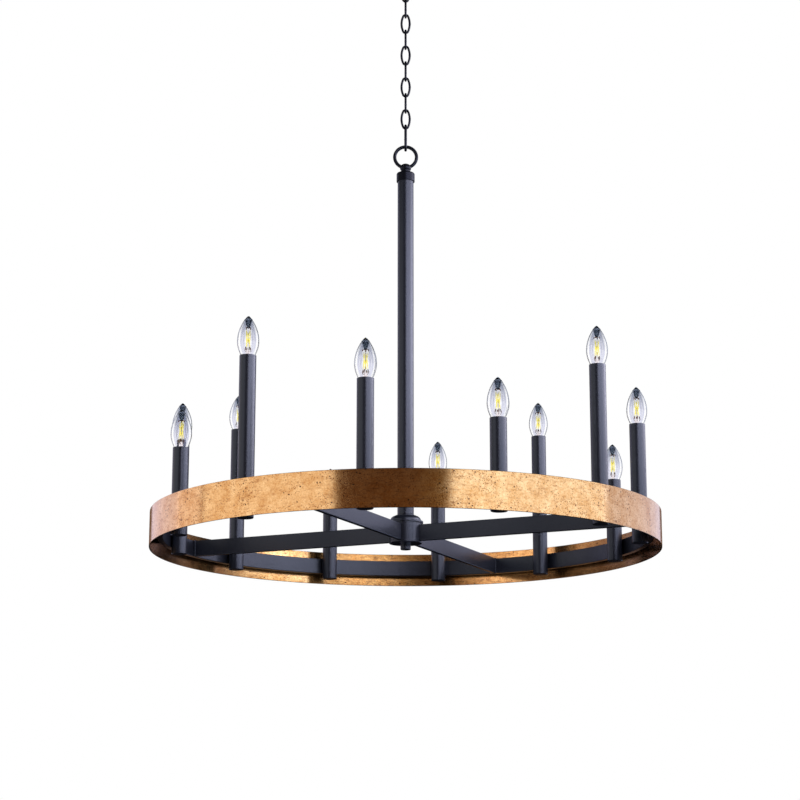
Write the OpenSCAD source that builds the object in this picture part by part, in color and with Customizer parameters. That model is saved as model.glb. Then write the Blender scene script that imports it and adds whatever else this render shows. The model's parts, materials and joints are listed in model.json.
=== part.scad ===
// Wagon wheel chandelier: a gold band round a black spoked hoop with twelve candle lamps,
// on a long stem that hangs by a ring and a chain from a ceiling canopy.
// Millimetres, +Z up. The origin is the middle of the mounting strap's top face, on the ceiling.

/* [Ceiling fitting] */
// Length of the mounting strap
strap_l = 105; // [100:1:120]
// Width of the mounting strap
strap_w = 20; // [16:1:30]
// Thickness of the mounting strap
strap_t = 2.5; // [1.5:0.5:4]
// Distance between the middles of the two strap slots
slot_spacing = 80; // [74:1:82]
// Length of a strap slot, end to end
slot_l = 20; // [12:1:22]
// Width of a strap slot
slot_w = 4.6; // [4:0.1:6]
// Outer diameter of the threaded nipple and of the stem's tie rod
nipple_d = 10; // [8:0.5:12]
// Bore of the nipple and of the tie rod, which the wires run through
nipple_bore = 7; // [4:0.5:7.5]
// Height of a hexagon nut on the nipple
nut_h = 4; // [3:0.5:6]
// Width across the flats of a hexagon nut
nut_af = 16; // [15:0.5:19]
// Outer diameter of the canopy
canopy_d = 130; // [122:1:160]
// Depth of the canopy below the ceiling
canopy_h = 28; // [24:1:36]
// Radius of the canopy's rounded corner
canopy_corner = 20; // [8:1:22]
// Thickness of the canopy's and the covers' sheet
sheet_t = 1.2; // [0.8:0.1:2]
// Diameter of the canopy loop's threaded body
loop_body_d = 16; // [15:0.5:20]
// Outer diameter of the canopy loop's ring
loop_d = 26; // [24:0.5:32]
// Wire diameter of the canopy loop's ring
loop_wire = 4.5; // [3.5:0.5:6]
// Depth below the ceiling at which the chain hangs on the canopy loop
loop_drop = 63; // [60:1:80]
// Diameter of the collar nut that holds the canopy up
collar_d = 28; // [25:1:34]
// Height of the collar nut
collar_h = 6; // [5:0.5:7]

/* [Chain and ring] */
// Number of plain chain links
link_count = 9; // [4:1:9]
// Outer length of a plain link
link_l = 38.6; // [36:0.2:44]
// Outer width of a plain link
link_w = 18.6; // [18:0.1:22]
// Wire diameter of a plain link
link_wire = 4; // [3:0.1:4.4]
// Radius of a plain link's round ends, on the wire's centre line
link_end_r = 4.8; // [4.8:0.1:6.5]
// Outer length of the connector link
connector_l = 49.9; // [44:0.1:60]
// Outer width of the connector link
connector_w = 21; // [20.5:0.5:26]
// Wire diameter of the connector link
connector_wire = 4.8; // [3:0.1:5]
// Radius of the connector link's round ends, on the wire's centre line
connector_end_r = 7; // [6.6:0.1:7.5]
// Outer diameter of the suspension ring
ring_d = 44.6; // [42:0.2:56]
// Wire diameter of the suspension ring
ring_wire = 6; // [4:0.1:6.4]
// Gap left where one link bears on the next
link_gap = 0.3; // [0.2:0.05:0.5]
// Turn of the chain and the ring about the vertical, from the spokes
link_turn = 24; // [0:1:45]

/* [Stem] */
// Outer diameter of the stem tube
stem_d = 28; // [24:0.5:28.5]
// Wall of the stem tube
stem_wall = 1.5; // [1:0.1:2.5]
// Length of the stem tube
stem_l = 609.7; // [300:0.1:900]
// Outer diameter of the stem cap
cap_d = 32; // [31.5:0.5:36]
// Height of the stem cap
cap_h = 16; // [12:1:30]
// Radius of the stem cap's top corner
cap_corner = 3; // [1.5:0.1:3.2]
// Outer diameter of the hanger eye's ball
eye_d = 20; // [19.5:0.5:26]
// Height of the hanger eye's ball
eye_h = 16; // [15.6:0.2:22]
// Height of the ball's middle above the stem cap
eye_rise = 9.4; // [7.6:0.1:12]
// Height of the ring's hole above the ball's middle
eye_hole_rise = 1; // [0:0.1:1.5]
// Diameter of the eye's neck
neck_d = 16; // [15:0.5:18]

/* [Hub] */
// Outer diameter of the hub
hub_d = 55; // [48:0.5:58]
// Wall of the hub shell
hub_wall = 1.5; // [1:0.1:3]
// Height of the hub shell above the spokes
hub_shoulder = 4; // [3.5:0.5:10]
// Height of the hub cover, from the shell to the end of the stem tube
cover_h = 15.5; // [15:0.5:20]
// Outer diameter of the hub cover's rim
cover_rim_d = 60; // [59:0.5:66]
// Height of the hub cover's rim
cover_rim_h = 3.2; // [2.5:0.1:4]
// Diameter of the hub cover's dome, above its rim
dome_d = 53; // [52:0.5:56]
// Radius of the dome's rounded top
dome_corner = 9; // [6:0.5:9.5]
// Thickness of the hub's bottom plate
plate_t = 2.5; // [1.5:0.1:4]
// Diameter of the finial nut
finial_d = 17.5; // [15:0.5:24]
// Height of the finial nut
finial_h = 10.5; // [8:0.5:16]

/* [Wheel] */
// Outer diameter of the gold band
wheel_d = 863.6; // [640:0.1:1200]
// Height of the gold band
band_h = 60; // [40:1:90]
// Thickness of the gold band
band_t = 2; // [1:0.1:4]
// Gap between the gold band and the black hoop
band_gap = 11; // [8:0.5:20]
// Height of the hoop
hoop_h = 28; // [24:1:36]
// Radial thickness of the hoop
hoop_w = 10; // [8:0.5:16]
// Wall of the hoop's tube
hoop_wall = 1.2; // [0.8:0.1:2]
// Height of a spoke
spoke_h = 28; // [20:1:28]
// Thickness of a spoke
spoke_w = 8; // [8:0.5:14]
// Wall of a spoke's tube
spoke_wall = 1.2; // [0.8:0.1:1.5]
// Height of the spokes' and the hoop's middle above the band's middle
spoke_lift = 0.5; // [-4:0.5:4]
// Width of the flange on the outer end of a spoke
flange_w = 15; // [15:0.5:20]
// Thickness of the spoke's flange
flange_t = 2; // [1:0.1:3]
// Diameter of the holes that pass the wires through the hoop
wire_hole = 5; // [3:0.5:5.5]

/* [Candles] */
// Outer diameter of a candle tube
tube_d = 26.7; // [25:0.1:30]
// Wall of a candle tube
tube_wall = 1; // [0.6:0.1:1.2]
// Height of the short candle tubes' tops above the band's middle
short_top = 120; // [100:1:160]
// Height of the middle candle tubes' tops above the band's middle
middle_top = 177; // [100:1:220]
// Height of the tall candle tubes' tops above the band's middle
tall_top = 234; // [100:1:300]
// Depth of the candle tubes' caps below the band's middle
tube_drop = 25.2; // [22:0.1:45]
// Thickness of a tube cap's rim
tube_cap_t = 1.6; // [1:0.1:3]
// Shank diameter of the screws that hold the tubes, the hoop and the band together
screw_d = 4; // [3:0.5:5]
// Outer diameter of a spacer between the hoop and the band
spacer_d = 12; // [9:0.5:16]

/* [Lamps] */
// Largest diameter of a bulb's glass
bulb_d = 35; // [30:0.5:38]
// Height of a bulb's tip above its tube
bulb_rise = 65; // [50:1:80]
// Height of the glass's widest place above the tube
bulb_belly = 23; // [20:1:30]
// Thickness of the bulb's glass
glass_t = 0.9; // [0.6:0.1:1.2]
// Depth of the bulb's metal base below the top of the tube
base_inset = 15; // [12:1:18]
// Diameter of a bulb's screw base
base_d = 11.9; // [11:0.1:13]
// Length of a bulb's screw base
base_l = 21; // [16:0.5:24]
// Height of a lampholder
holder_h = 32; // [28:1:40]

/* [Hidden] */
$fn = 48;
CANDLE_COUNT = 12;
SPOKE_COUNT = 4;
SPOKE_ANGLES = [for (i = [0:SPOKE_COUNT - 1]) i * 360 / SPOKE_COUNT];

black = [0.20, 0.20, 0.24];
gold = [0.80, 0.61, 0.38];
zinc = [0.70, 0.71, 0.72];
cream = [0.86, 0.84, 0.78];
clear = [0.80, 0.86, 0.92, 0.45];

// Clearances between pieces
thread_gap = 0.1;
slip_gap = 0.2;
weld_gap = 0.1;
bulb_gap = 0.3;
eye_gap = 0.6;
// A cut runs this much past the face that it opens
eps = 1;
// A flat this wide is left where two arcs would otherwise meet in a line
thin_land = 0.001;

// Small features
edge_r = 0.6;
strap_corner_r = 3;
spoke_reach = 5;
locating_depth = 4;
knurl_grooves = 24;

// Ceiling fitting: the nipple stops short of the strap's face and reaches into the loop's body
nipple_inset = 0.5;
nipple_bottom = -canopy_h - locating_depth;
loop_body_top = 7 - canopy_h;
lead_hole_d = 6;
loop_r = (loop_d - loop_wire) / 2;
loop_middle = -loop_drop + loop_r;
loop_body_bottom = loop_middle + loop_r - loop_wire / 2;
ground_d = 3.8;
ground_head_h = 2.2;
ground_head_d = 6.4;
ground_slot = 1;
ground_x = (nut_af / cos(30) / 2 + slot_spacing / 2 - slot_l / 2) / 2;

// Chain: half lengths on the wire's centre line, and the height of each bearing point
link_half = (link_l - link_wire) / 2;
connector_half = (connector_l - connector_wire) / 2;
ring_r = (ring_d - ring_wire) / 2;
function bearing(upper_wire, lower_wire) = (upper_wire + lower_wire) / 2 + link_gap;
link_pitch = 2 * link_half - bearing(link_wire, link_wire);
first_link_top = -loop_drop + bearing(loop_wire, link_wire);
last_link_bottom = first_link_top - 2 * link_half - (link_count - 1) * link_pitch;
connector_top = last_link_bottom + bearing(link_wire, connector_wire);
connector_bottom = connector_top - 2 * connector_half;
ring_top = connector_bottom + bearing(connector_wire, ring_wire);
ring_bottom = ring_top - 2 * ring_r;

// Heights above the band's middle
plate_seat_gap = 0.5;
spoke_top = spoke_lift + spoke_h / 2;
spoke_bottom = spoke_lift - spoke_h / 2;
hub_top = spoke_top + hub_shoulder;
hub_bottom = spoke_bottom - plate_seat_gap;
stem_bottom = hub_top + cover_h;
stem_top = stem_bottom + stem_l;
cap_top = stem_top + weld_gap / 2 + sheet_t;
eye_middle = cap_top + eye_rise;
eye_hole_z = eye_middle + eye_hole_rise;
eye_shank_bottom = cap_top - 2 * locating_depth;
eye_shank_d = neck_d - 2;
eye_bore_top = cap_top - thread_gap;
rod_top = eye_bore_top - thread_gap;
finial_top = hub_bottom - plate_t;
rod_bottom = finial_top - finial_h / 2;
stem_bore_r = stem_d / 2 - stem_wall;

// Hub cover: its rim's corner and its steps up to the stem
cover_rim_corner = 1.2;
dome_h = 12;
ledge_h = 1;
shoulder_w = 0.5;
plate_overhang = 0.7;

// The band's middle hangs at this height below the ceiling
wheel_z = ring_bottom - eye_hole_z;

// Radii across the wheel
band_inner_r = wheel_d / 2 - band_t;
hoop_outer_r = band_inner_r - band_gap;
hoop_inner_r = hoop_outer_r - hoop_w;
hoop_middle_r = hoop_outer_r - hoop_w / 2;
candle_r = hoop_inner_r - tube_d / 2 - weld_gap;
spoke_start = hub_d / 2 - hub_wall - spoke_reach;
spoke_end = sqrt(pow(hoop_inner_r, 2) - pow(flange_w / 2, 2)) - weld_gap;
plate_boss_r = spoke_start - 1;

// Candles: a middle, a short and a tall tube in each quarter of the wheel
candle_tops = [middle_top, short_top, tall_top];
function candle_angle(k) = (k - 0.5) * 360 / CANDLE_COUNT;
function candle_top(k) = candle_tops[(k - 1) % len(candle_tops)];
tube_bore_r = tube_d / 2 - tube_wall;
screw_head_r = screw_d * 0.95;
screw_head_h = screw_d * 0.65;
screw_seat = sqrt(pow(tube_bore_r, 2) - pow(screw_head_r, 2)) - weld_gap;
spacer_start = hoop_outer_r - candle_r + weld_gap;
spacer_end = sqrt(pow(band_inner_r, 2) - pow(spacer_d / 2, 2)) - candle_r - weld_gap;
screw_end = spacer_end - 2;
screw_hole_end = screw_end + 1;
tube_cap_wall = 1.5;
wire_hole_margin = 1.5;
wire_hole_z = spoke_lift + hoop_h / 2 - hoop_wall - wire_hole / 2 - wire_hole_margin;

// Bulb: its glass meets the base at the neck, and a contact ends the base
base_r = base_d / 2;
glass_neck_r = base_r + 0.45;
contact_l = 2;
contact_r = 3;
mount_foot_r = 4;
mount_top_r = 2;
filament_count = 4;
filament_d = 1.6;
filament_l = 28;
filament_foot = 9;
filament_lean = 6;

// Helpers

// A rectangle with round corners, centred
module rounded_rect(w, h, r) {
    square([w - 2 * r, h], center = true);
    square([w, h - 2 * r], center = true);
    for (sx = [-1, 1], sy = [-1, 1])
        translate([sx * (w / 2 - r), sy * (h / 2 - r)])
            circle(r = r);
}

// A rectangular tube's section
module box_section(w, h, wall) {
    difference() {
        rounded_rect(w, h, wall);
        square([w - 2 * wall, h - 2 * wall], center = true);
    }
}

// Half of a cup's section: a top plate with one round corner and a straight skirt below it
module cup_section(r, h, corner) {
    square([r - corner, h]);
    square([r, h - corner]);
    translate([r - corner, h - corner])
        intersection() {
            circle(r = corner);
            square(corner);
        }
}

// A length of round wire bent to an arc in the XY plane
module wire_arc(r, wire, start, sweep) {
    rotate([0, 0, start])
        rotate_extrude(angle = sweep)
            translate([r, 0])
                circle(d = wire);
}

// A welded chain link in the XZ plane: an oval of four arcs. The side arcs are a little
// thinner than the ends and run into them by a short lap.
module oval_link(length, width, wire, end_r) {
    side_wire = wire - 0.1;
    lap = 0.4;
    half_l = (length - wire) / 2;
    half_w = (width - wire) / 2;
    end_y = half_l - end_r;
    side_r = (pow(half_w, 2) + pow(end_y, 2) - pow(end_r, 2)) / (2 * (half_w - end_r));
    side_half = atan2(end_y, side_r - half_w);
    side_lap = lap / side_r * 180 / PI;
    rotate([90, 0, 0]) {
        for (flip = [0, 180])
            rotate([0, 0, flip]) {
                translate([0, end_y, 0])
                    wire_arc(end_r, wire, side_half, 180 - 2 * side_half);
                translate([half_w - side_r, 0, 0])
                    wire_arc(side_r, side_wire, -side_half - side_lap, 2 * (side_half + side_lap));
            }
    }
}

// A whole ring of round wire, standing in the XZ plane
module upright_ring(r, wire) {
    rotate([90, 0, 0])
        rotate_extrude()
            translate([r, 0])
                circle(d = wire);
}

// Places a link or ring in the chain: even places face along the ring, odd ones across it
module in_chain(z, place) {
    translate([0, 0, z])
        rotate([0, 0, link_turn + 90 * (place % 2)])
            children();
}

// Places a piece in the wheel's own frame
module in_wheel() {
    translate([0, 0, wheel_z])
        children();
}

// Places a piece at a candle, with +X pointing out of the wheel
module at_candle(k) {
    in_wheel()
        rotate([0, 0, candle_angle(k)])
            translate([candle_r, 0, 0])
                children();
}

module at_each_candle() {
    for (k = [1:CANDLE_COUNT])
        at_candle(k)
            children();
}

// A rod along +X
module rod_x(from, to, d) {
    translate([from, 0, 0])
        rotate([0, 90, 0])
            cylinder(h = to - from, d = d);
}

// Ceiling fitting

module mounting_strap() {
    color(zinc)
        translate([0, 0, -strap_t])
            difference() {
                linear_extrude(strap_t)
                    rounded_rect(strap_l, strap_w, strap_corner_r);
                translate([0, 0, -eps])
                    cylinder(h = strap_t + 2 * eps, d = nipple_d + 2 * thread_gap);
                for (side = [-1, 1])
                    translate([side * slot_spacing / 2, 0, -eps])
                        linear_extrude(strap_t + 2 * eps)
                            rounded_rect(slot_l, slot_w, slot_w / 2 - thin_land);
                translate([ground_x, 0, -eps])
                    cylinder(h = strap_t + 2 * eps, d = ground_d + 2 * thread_gap);
            }
}

module ground_screw() {
    color("seagreen")
        translate([ground_x, 0, -strap_t]) {
            cylinder(h = strap_t - nipple_inset, d = ground_d);
            translate([0, 0, -ground_head_h])
                difference() {
                    cylinder(h = ground_head_h, d = ground_head_d);
                    translate([-ground_head_d, -ground_slot / 2, -eps])
                        cube([2 * ground_head_d, ground_slot, ground_slot + eps]);
                }
        }
}

module nipple() {
    color(zinc)
        translate([0, 0, nipple_bottom])
            difference() {
                cylinder(h = -nipple_inset - nipple_bottom, d = nipple_d);
                translate([0, 0, -eps])
                    cylinder(h = -nipple_bottom + 2 * eps, d = nipple_bore);
            }
}

module nipple_nut() {
    color(zinc)
        translate([0, 0, -strap_t - nut_h])
            difference() {
                cylinder(h = nut_h, d = nut_af / cos(30), $fn = 6);
                translate([0, 0, -eps])
                    cylinder(h = nut_h + 2 * eps, d = nipple_d + 2 * thread_gap);
            }
}

module canopy() {
    color(black)
        rotate([180, 0, 0])
            rotate_extrude()
                difference() {
                    cup_section(canopy_d / 2, canopy_h, canopy_corner);
                    translate([0, -eps])
                        square([canopy_d / 2 - sheet_t, eps]);
                    cup_section(canopy_d / 2 - sheet_t, canopy_h - sheet_t, canopy_corner - sheet_t);
                    square([loop_body_d / 2 + slip_gap, canopy_h + eps]);
                }
}

// The collar nut screws up the loop's body and presses the canopy to the ceiling
module collar_nut() {
    chamfer = 1;
    groove_r = 1;
    groove_depth = 0.6;
    land = 1.5;
    color(black)
        translate([0, 0, -canopy_h - collar_h])
            difference() {
                union() {
                    translate([0, 0, chamfer])
                        cylinder(h = collar_h - chamfer, d = collar_d);
                    cylinder(h = chamfer, d1 = collar_d - 2 * chamfer, d2 = collar_d);
                }
                translate([0, 0, -eps])
                    cylinder(h = collar_h + 2 * eps, d = loop_body_d + 2 * thread_gap);
                for (i = [0:knurl_grooves - 1])
                    rotate([0, 0, i * 360 / knurl_grooves])
                        translate([collar_d / 2 + groove_r - groove_depth, 0, land])
                            cylinder(h = collar_h - 2 * land, r = groove_r);
            }
}

module canopy_loop() {
    color(black)
        difference() {
            union() {
                translate([0, 0, loop_body_bottom])
                    cylinder(h = loop_body_top - loop_body_bottom, d = loop_body_d);
                in_chain(loop_middle, 1)
                    upright_ring(loop_r, loop_wire);
            }
            translate([0, 0, nipple_bottom - thread_gap])
                cylinder(h = canopy_h, d = nipple_d + 2 * thread_gap);
            translate([0, 0, loop_middle])
                cylinder(h = loop_r + canopy_h, d = lead_hole_d);
        }
}

// Chain and ring

module chain_link(i) {
    color(black)
        in_chain(first_link_top - link_half - (i - 1) * link_pitch, i - 1)
            oval_link(link_l, link_w, link_wire, link_end_r);
}

module connector_link() {
    color(black)
        in_chain(connector_top - connector_half, link_count)
            oval_link(connector_l, connector_w, connector_wire, connector_end_r);
}

module suspension_ring() {
    color(black)
        in_chain(ring_top - ring_r, link_count + 1)
            upright_ring(ring_r, ring_wire);
}

// Stem

// The ball is cast round the ring, and its shank screws on the tie rod
module hanger_eye() {
    steps = 16;
    angles = [for (i = [0:steps]) i * 180 / steps - 90];
    ball_side = [for (a = angles) [eye_d / 2 * cos(a), eye_h / 2 * sin(a)]];
    color(black)
        in_wheel()
            difference() {
                union() {
                    translate([0, 0, eye_middle])
                        rotate_extrude()
                            polygon(ball_side);
                    translate([0, 0, cap_top])
                        cylinder(h = eye_middle - cap_top, d = neck_d);
                    translate([0, 0, eye_shank_bottom])
                        cylinder(h = cap_top - eye_shank_bottom, d = eye_shank_d);
                }
                translate([0, 0, eye_shank_bottom - eps])
                    cylinder(h = eye_bore_top - eye_shank_bottom + eps, d = nipple_d + 2 * thread_gap);
                translate([0, 0, ring_top - ring_r - wheel_z])
                    in_chain(0, link_count + 1)
                        upright_ring(ring_r, ring_wire + 2 * eye_gap);
            }
}

module stem_cap() {
    // The cap clears the rim of the stem tube inside its corner
    inner_r = cap_d / 2 - sheet_t;
    inner_corner = min(cap_corner - sheet_t, inner_r - stem_d / 2);
    color(black)
        in_wheel()
            translate([0, 0, cap_top - cap_h])
                rotate_extrude()
                    difference() {
                        cup_section(cap_d / 2, cap_h, cap_corner);
                        translate([0, -eps])
                            square([inner_r, eps]);
                        cup_section(inner_r, cap_h - sheet_t, inner_corner);
                        square([eye_shank_d / 2 + slip_gap, cap_h + eps]);
                    }
}

module stem_tube() {
    color(black)
        in_wheel()
            translate([0, 0, stem_bottom])
                difference() {
                    cylinder(h = stem_l, d = stem_d);
                    translate([0, 0, -eps])
                        cylinder(h = stem_l + 2 * eps, d = stem_d - 2 * stem_wall);
                }
}

// The threaded pipe that draws the hanger eye, the stem and the hub together
module tie_rod() {
    color(zinc)
        in_wheel()
            translate([0, 0, rod_bottom])
                difference() {
                    cylinder(h = rod_top - rod_bottom, d = nipple_d);
                    translate([0, 0, -eps])
                        cylinder(h = rod_top - rod_bottom + 2 * eps, d = nipple_bore);
                }
}

// Hub

// The stepped cover over the hub: its lip fits into the shell and its spigot into the stem
module hub_cover() {
    ledge_r = dome_d / 2 - dome_corner;
    lip_r = hub_d / 2 - hub_wall - slip_gap;
    inner_r = min(lip_r, dome_d / 2) - sheet_t;
    inner_corner = dome_corner - (dome_d / 2 - inner_r);
    color(black)
        in_wheel()
            translate([0, 0, hub_top])
                rotate_extrude()
                    difference() {
                        union() {
                            cup_section(cover_rim_d / 2, cover_rim_h, cover_rim_corner);
                            cup_section(dome_d / 2, dome_h, dome_corner);
                            square([ledge_r, dome_h + ledge_h]);
                            square([stem_bore_r + shoulder_w, cover_h]);
                            square([stem_bore_r - slip_gap, cover_h + locating_depth]);
                            translate([0, -locating_depth])
                                square([lip_r, 2 * locating_depth]);
                        }
                        translate([0, -locating_depth - eps])
                            square([inner_r, locating_depth + 2 * eps]);
                        cup_section(inner_r, dome_h - sheet_t, inner_corner);
                        square([nipple_d / 2 + slip_gap, cover_h + locating_depth + eps]);
                    }
}

module hub_shell() {
    color(black)
        in_wheel()
            difference() {
                translate([0, 0, hub_bottom])
                    cylinder(h = hub_top - hub_bottom, d = hub_d);
                translate([0, 0, hub_bottom - eps])
                    cylinder(h = hub_top - hub_bottom + 2 * eps, d = hub_d - 2 * hub_wall);
                for (a = SPOKE_ANGLES)
                    rotate([0, 0, a])
                        translate([spoke_start, -spoke_w / 2 - slip_gap, hub_bottom - eps])
                            cube([hub_d, spoke_w + 2 * slip_gap, spoke_top + slip_gap - hub_bottom + eps]);
            }
}

module hub_plate() {
    chamfer = plate_overhang;
    plate_d = hub_d + 2 * plate_overhang;
    color(black)
        in_wheel()
            difference() {
                union() {
                    translate([0, 0, hub_bottom - plate_t + chamfer])
                        cylinder(h = plate_t - chamfer, d = plate_d);
                    translate([0, 0, hub_bottom - plate_t])
                        cylinder(h = chamfer, d1 = plate_d - 2 * chamfer, d2 = plate_d);
                    translate([0, 0, hub_bottom])
                        cylinder(h = locating_depth, r = plate_boss_r);
                }
                translate([0, 0, hub_bottom - plate_t - eps])
                    cylinder(h = plate_t + locating_depth + 2 * eps, d = nipple_d + 2 * slip_gap);
            }
}

module finial_nut() {
    chamfer = 0.8;
    color(black)
        in_wheel()
            translate([0, 0, finial_top - finial_h])
                difference() {
                    union() {
                        cylinder(h = chamfer, d1 = finial_d - 2 * chamfer, d2 = finial_d);
                        translate([0, 0, chamfer])
                            cylinder(h = finial_h - chamfer, d = finial_d);
                    }
                    translate([0, 0, finial_h / 2 - weld_gap])
                        cylinder(h = finial_h, d = nipple_d + 2 * thread_gap);
                }
}

// Wheel

// A spoke is a rectangular tube with a flange welded across its outer end
module spoke(i) {
    color(black)
        in_wheel()
            rotate([0, 0, SPOKE_ANGLES[i - 1]])
                translate([0, 0, spoke_lift]) {
                    translate([spoke_start, 0, 0])
                        rotate([90, 0, 90])
                            linear_extrude(spoke_end - flange_t - spoke_start)
                                box_section(spoke_w, spoke_h, spoke_wall);
                    difference() {
                        translate([spoke_end - flange_t, -flange_w / 2, -spoke_h / 2])
                            cube([flange_t, flange_w, spoke_h]);
                        rod_x(spoke_end - flange_t - eps, spoke_end + eps, wire_hole);
                    }
                }
}

module inner_hoop() {
    color(black)
        in_wheel()
            difference() {
                translate([0, 0, spoke_lift])
                    rotate_extrude($fn = 180)
                        translate([hoop_middle_r, 0])
                            box_section(hoop_w, hoop_h, hoop_wall);
                for (a = SPOKE_ANGLES)
                    rotate([0, 0, a])
                        translate([0, 0, spoke_lift])
                            rod_x(hoop_inner_r - eps, hoop_middle_r, wire_hole);
                for (k = [1:CANDLE_COUNT])
                    rotate([0, 0, candle_angle(k)]) {
                        translate([0, 0, spoke_lift])
                            rod_x(hoop_inner_r - eps, hoop_outer_r + eps, screw_d + 2 * slip_gap);
                        translate([0, 0, wire_hole_z])
                            rod_x(hoop_inner_r - eps, hoop_middle_r, wire_hole);
                    }
            }
}

module gold_band() {
    color(gold)
        in_wheel()
            rotate_extrude($fn = 180)
                translate([band_inner_r + band_t / 2, 0])
                    rounded_rect(band_t, band_h, min(edge_r, band_t / 2 - 0.1));
}

module band_spacers() {
    color(black)
        at_each_candle()
            translate([0, 0, spoke_lift])
                difference() {
                    rod_x(spacer_start, spacer_end, spacer_d);
                    rod_x(spacer_start - eps, screw_hole_end, screw_d + 2 * thread_gap);
                }
}

module tube_screws() {
    color(zinc)
        at_each_candle()
            translate([0, 0, spoke_lift]) {
                rod_x(screw_seat, screw_end, screw_d);
                rod_x(screw_seat - screw_head_h, screw_seat, 2 * screw_head_r);
            }
}

// Candles

module candle_tube(k) {
    color(black)
        at_candle(k)
            difference() {
                translate([0, 0, tube_cap_t - tube_drop])
                    cylinder(h = candle_top(k) + tube_drop - tube_cap_t, d = tube_d);
                translate([0, 0, -tube_drop - eps])
                    cylinder(h = candle_top(k) + tube_drop + 2 * eps, r = tube_bore_r);
                translate([0, 0, spoke_lift])
                    rod_x(0, tube_d, screw_d + 2 * slip_gap);
                translate([0, 0, wire_hole_z])
                    rod_x(0, tube_d, wire_hole);
            }
}

module tube_caps() {
    chamfer = tube_cap_t / 2;
    color(black)
        at_each_candle()
            translate([0, 0, -tube_drop]) {
                cylinder(h = chamfer, d1 = tube_d - 2 * chamfer, d2 = tube_d);
                translate([0, 0, chamfer])
                    cylinder(h = tube_cap_t - chamfer, d = tube_d);
                translate([0, 0, tube_cap_t])
                    difference() {
                        cylinder(h = locating_depth, r = tube_bore_r - slip_gap);
                        cylinder(h = locating_depth + eps, r = tube_bore_r - slip_gap - tube_cap_wall);
                    }
            }
}

// A moulded candelabra lampholder: a cup for the bulb's base with a bore for the leads
module lampholders() {
    holder_r = tube_bore_r - slip_gap;
    socket_r = base_r + bulb_gap;
    color(cream)
        for (k = [1:CANDLE_COUNT])
            at_candle(k)
                translate([0, 0, candle_top(k) - base_inset - bulb_gap - holder_h])
                    difference() {
                        cylinder(h = holder_h, r = holder_r);
                        translate([0, 0, holder_h - base_l - contact_l])
                            cylinder(h = holder_h, r = socket_r);
                        translate([0, 0, -eps])
                            cylinder(h = holder_h, r = nipple_bore / 2);
                    }
}

// Radius of the bulb's glass at a height above the top of the tube
function glass_radius(z) =
    z < bulb_belly
        ? glass_neck_r + (bulb_d / 2 - glass_neck_r)
            * pow(sin(90 * (z + base_inset) / (bulb_belly + base_inset)), 1.5)
        : bulb_d / 2 * pow(cos(90 * (z - bulb_belly) / (bulb_rise - bulb_belly)), 0.72);

// A candle bulb: hollow glass, a screw base and the mount that carries the filaments
module bulb(k) {
    steps = 22;
    tip_cut = 0.985;
    inner_cut = 0.93;
    outer = [for (i = [0:steps]) -base_inset + i / steps * tip_cut * (bulb_rise + base_inset)];
    inner = [for (i = [0:steps]) -base_inset + i / steps * inner_cut * (bulb_rise + base_inset)];
    at_candle(k)
        translate([0, 0, candle_top(k)]) {
            color(clear)
                rotate_extrude()
                    polygon(concat(
                        [for (z = outer) [glass_radius(z), z]],
                        [[0, bulb_rise], [0, inner[steps]]],
                        [for (i = [0:steps]) [glass_radius(inner[steps - i]) - glass_t, inner[steps - i]]]
                    ));
            color(zinc)
                bulb_base();
            color("gold")
                filament_mount();
        }
}

module bulb_base() {
    translate([0, 0, -base_inset - base_l])
        cylinder(h = base_l - weld_gap / 2, r = base_r);
    translate([0, 0, -base_inset - base_l - contact_l + bulb_gap])
        cylinder(h = contact_l - bulb_gap, r1 = 0.7 * contact_r, r2 = contact_r);
}

// A glass stem with filament rods that lean apart from a common foot
module filament_mount() {
    translate([0, 0, -base_inset])
        cylinder(h = filament_foot + filament_d / 2 + base_inset, r1 = mount_foot_r, r2 = mount_top_r);
    for (i = [0:filament_count - 1])
        rotate([0, 0, (i + 0.5) * 360 / filament_count])
            translate([mount_top_r / 2, 0, filament_foot])
                rotate([0, filament_lean, 0])
                    cylinder(h = filament_l, d = filament_d);
}

mounting_strap();
nipple();
nipple_nut();
ground_screw();
canopy();
collar_nut();
canopy_loop();
for (i = [1:link_count])
    chain_link(i);
connector_link();
suspension_ring();
hanger_eye();
stem_cap();
stem_tube();
tie_rod();
hub_cover();
hub_shell();
hub_plate();
finial_nut();
for (i = [1:SPOKE_COUNT])
    spoke(i);
inner_hoop();
gold_band();
band_spacers();
tube_screws();
lampholders();
tube_caps();
for (k = [1:CANDLE_COUNT])
    candle_tube(k);
for (k = [1:CANDLE_COUNT])
    bulb(k);
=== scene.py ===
"""The looks of a wagon wheel chandelier: satin black steel, a gilded band and twelve clear candle bulbs.

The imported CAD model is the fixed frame. Its solids keep their places and get their finishes here,
and the bulbs, chain, nipple, nut and welds are remade as finer surfaces in the same places.
"""

import json
import math

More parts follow.
